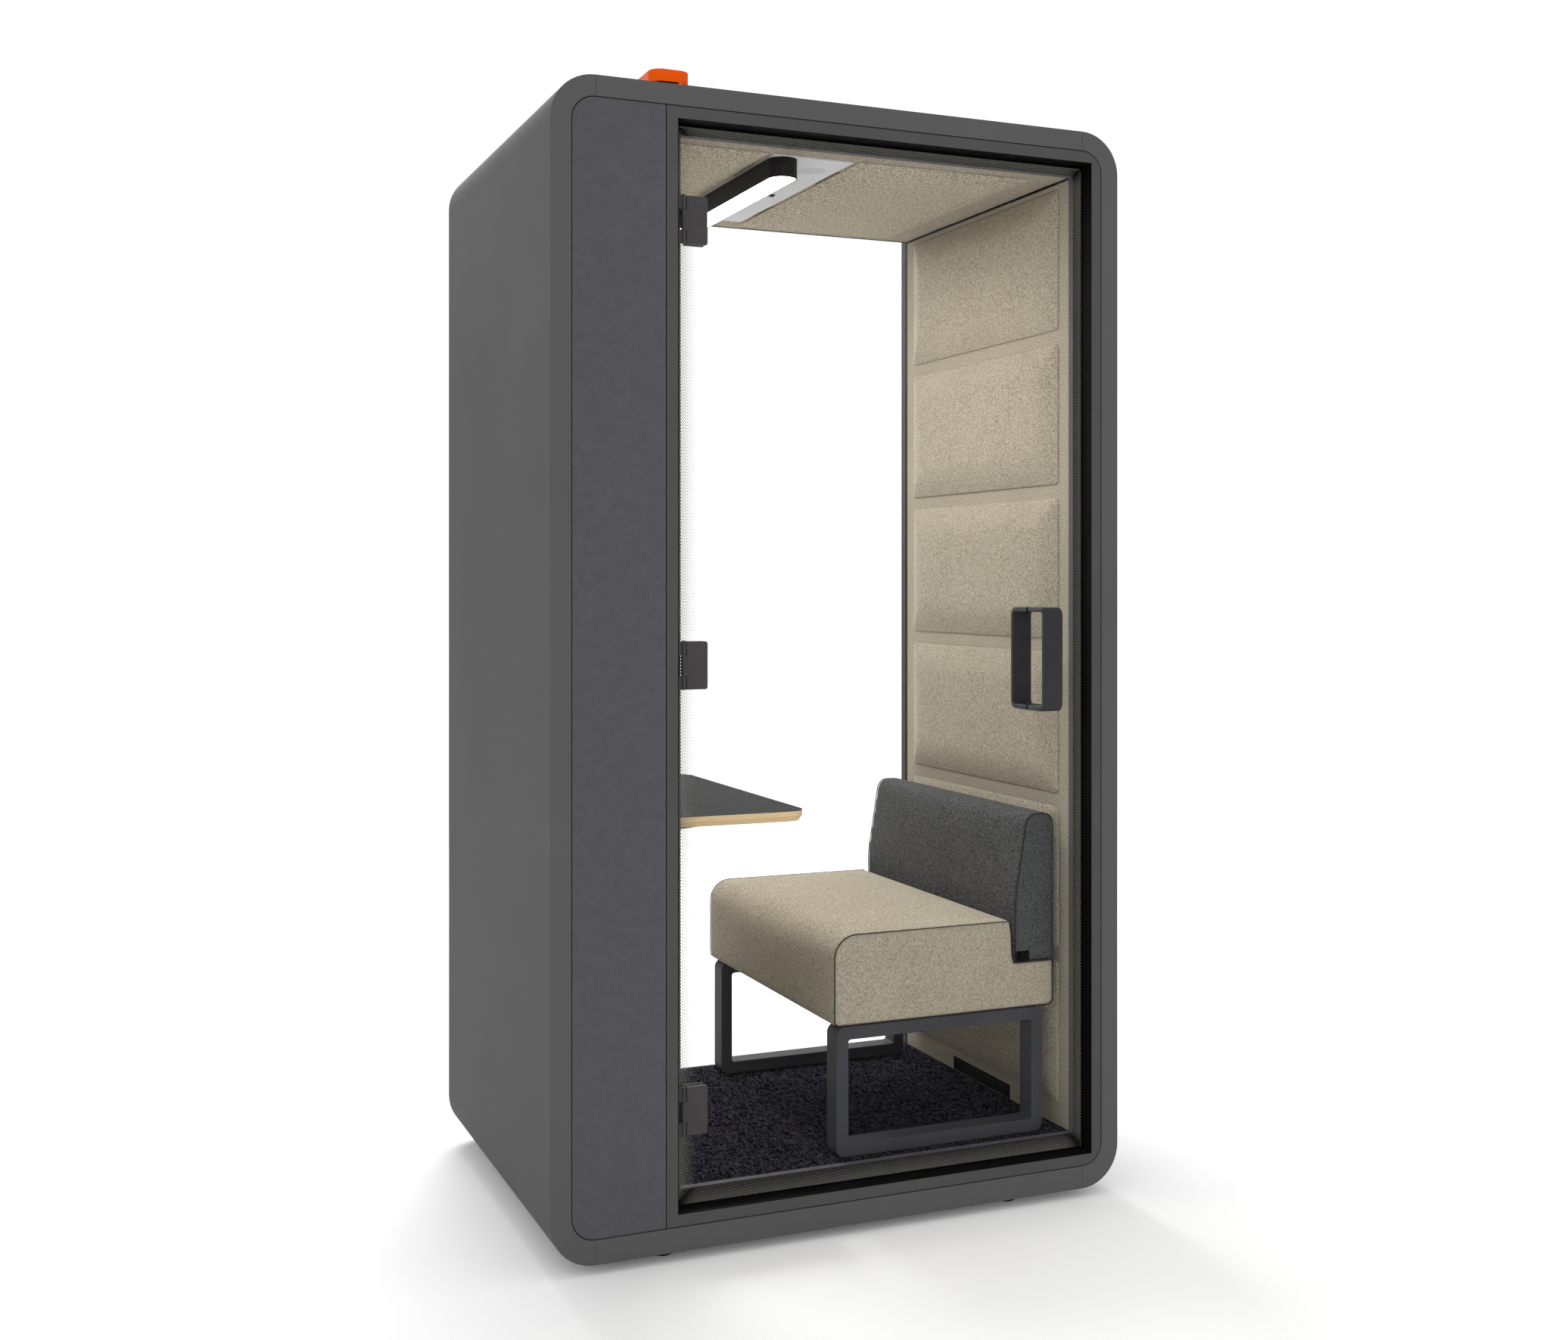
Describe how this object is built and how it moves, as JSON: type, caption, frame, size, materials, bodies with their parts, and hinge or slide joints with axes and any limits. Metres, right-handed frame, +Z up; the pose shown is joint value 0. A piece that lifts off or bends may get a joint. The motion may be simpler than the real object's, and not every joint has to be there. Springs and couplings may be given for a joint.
{
  "type": "office pod",
  "caption": "One-person acoustic office pod: round-cornered grey casing, hinged glass door, padded walls, upholstered bench, wall-hung table, ceiling light and roof fans.",
  "frame": {"origin": "on the floor, in the middle of the pod's box, which the outer door handle lengthens at the front", "axes": "+Z up, +X to the right seen from the door, +Y from the door to the rear glass"},
  "size_m": [1.268, 0.9456, 2.344],
  "materials": {
    "casing_laminate": "matt grey laminated board, radiused corners",
    "fascia_felt": "dense blue-grey felt-like panel",
    "frame_grey": "dark grey powder coat",
    "frame_black": "matt black powder coat",
    "seal_rubber": "soft black seal",
    "door_glass": "clear laminated glass with a fading dot print",
    "rear_glass": "clear laminated glass",
    "hardware_black": "satin charcoal powder coat",
    "steel": "zinc-plated steel",
    "lining_board": "board covered with beige fabric",
    "lining_fabric": "beige melange upholstery fabric",
    "timber": "softwood and plywood",
    "carpet": "dark blue-black needle felt carpet",
    "vent_black": "matt black plastic",
    "panel_grey": "light grey coated sheet",
    "lamp_black": "black anodised extrusion",
    "diffuser_white": "opal diffuser, lit",
    "electronics": "white electronics housing",
    "seat_fabric": "beige melange upholstery fabric over foam",
    "back_fabric": "charcoal melange upholstery fabric over foam",
    "tag_black": "plain black woven tag",
    "table_laminate": "matt dark grey laminate",
    "guard_orange": "satin orange powder coat",
    "foot_black": "black plastic foot on a steel stud"
  },
  "bodies": {
    "root": {"left_casing": "casing_laminate", "right_casing": "casing_laminate", "roof_casing": "casing_laminate", "base_casing": "casing_laminate", "front_fascia": "fascia_felt", "front_frame": "frame_grey", "door_frame": "frame_black", "front_inner_panel": "lining_board", "door_seal": "seal_rubber", "hinge_jamb_leaves": "hardware_black", "hinge_pins": "steel", "rear_jamb": "frame_black", "rear_glass": "rear_glass", "rear_frame": "frame_grey", "floor_joists": "timber", "floor_board": "timber", "carpet": "carpet", "left_wall_board": "lining_board", "right_wall_board": "lining_board", "floor_vent": "vent_black", "ceiling_board": "lining_board", "left_wall_pads": "lining_fabric", "right_wall_pads": "lining_fabric", "ceiling_pads": "lining_fabric", "service_panel": "panel_grey", "blanking_disc": "panel_grey", "lamp_housing": "lamp_black", "lamp_diffuser": "diffuser_white", "led_board": "electronics", "motion_sensor": "vent_black", "led_driver": "electronics", "fan_frames": "vent_black", "roof_grilles": "vent_black", "seat_leg_near": "hardware_black", "seat_leg_far": "hardware_black", "seat_rails": "hardware_black", "seat_board": "timber", "seat_cushion": "seat_fabric", "backrest_cushion": "back_fabric", "seat_tag": "tag_black", "table_core": "timber", "table_laminate": "table_laminate", "table_arms": "hardware_black", "table_screws": "steel", "inlet_guard": "guard_orange", "power_inlet": "vent_black"},
    "door": {"door_glass": "door_glass", "hinge_door_leaves": "hardware_black", "hinge_back_plates": "hardware_black", "hinge_bolts": "steel", "handle_outer": "hardware_black", "handle_inner": "hardware_black", "handle_bolts": "steel"},
    "fan_rotor_front": {"fan_rotor_front": "vent_black"},
    "fan_rotor_rear": {"fan_rotor_rear": "vent_black"},
    "foot_front_left": {"foot_front_left": "foot_black"},
    "foot_front_right": {"foot_front_right": "foot_black"},
    "foot_rear_left": {"foot_rear_left": "foot_black"},
    "foot_rear_right": {"foot_rear_right": "foot_black"}
  },
  "joints": [
    {"name": "door_swing", "type": "hinge", "parent": "root", "child": "door", "pos_m": [-0.358, -0.41625, 1.1635], "axis": [0, 0, -1], "range_deg": [0, 105]},
    {"name": "fan_front_spin", "type": "hinge", "parent": "root", "child": "fan_rotor_front", "pos_m": [-0.0385, -0.17425, 2.245], "axis": [0, 0, 1], "continuous": true},
    {"name": "fan_rear_spin", "type": "hinge", "parent": "root", "child": "fan_rotor_rear", "pos_m": [-0.0385, 0.20575, 2.245], "axis": [0, 0, 1], "continuous": true},
    {"name": "foot_front_left_turn", "type": "hinge", "parent": "root", "child": "foot_front_left", "pos_m": [-0.39, -0.37825, 0.03], "axis": [0, 0, 1], "continuous": true},
    {"name": "foot_front_right_turn", "type": "hinge", "parent": "root", "child": "foot_front_right", "pos_m": [0.39, -0.37825, 0.03], "axis": [0, 0, 1], "continuous": true},
    {"name": "foot_rear_left_turn", "type": "hinge", "parent": "root", "child": "foot_rear_left", "pos_m": [-0.39, 0.40975, 0.03], "axis": [0, 0, 1], "continuous": true},
    {"name": "foot_rear_right_turn", "type": "hinge", "parent": "root", "child": "foot_rear_right", "pos_m": [0.39, 0.40975, 0.03], "axis": [0, 0, 1], "continuous": true}
  ]
}
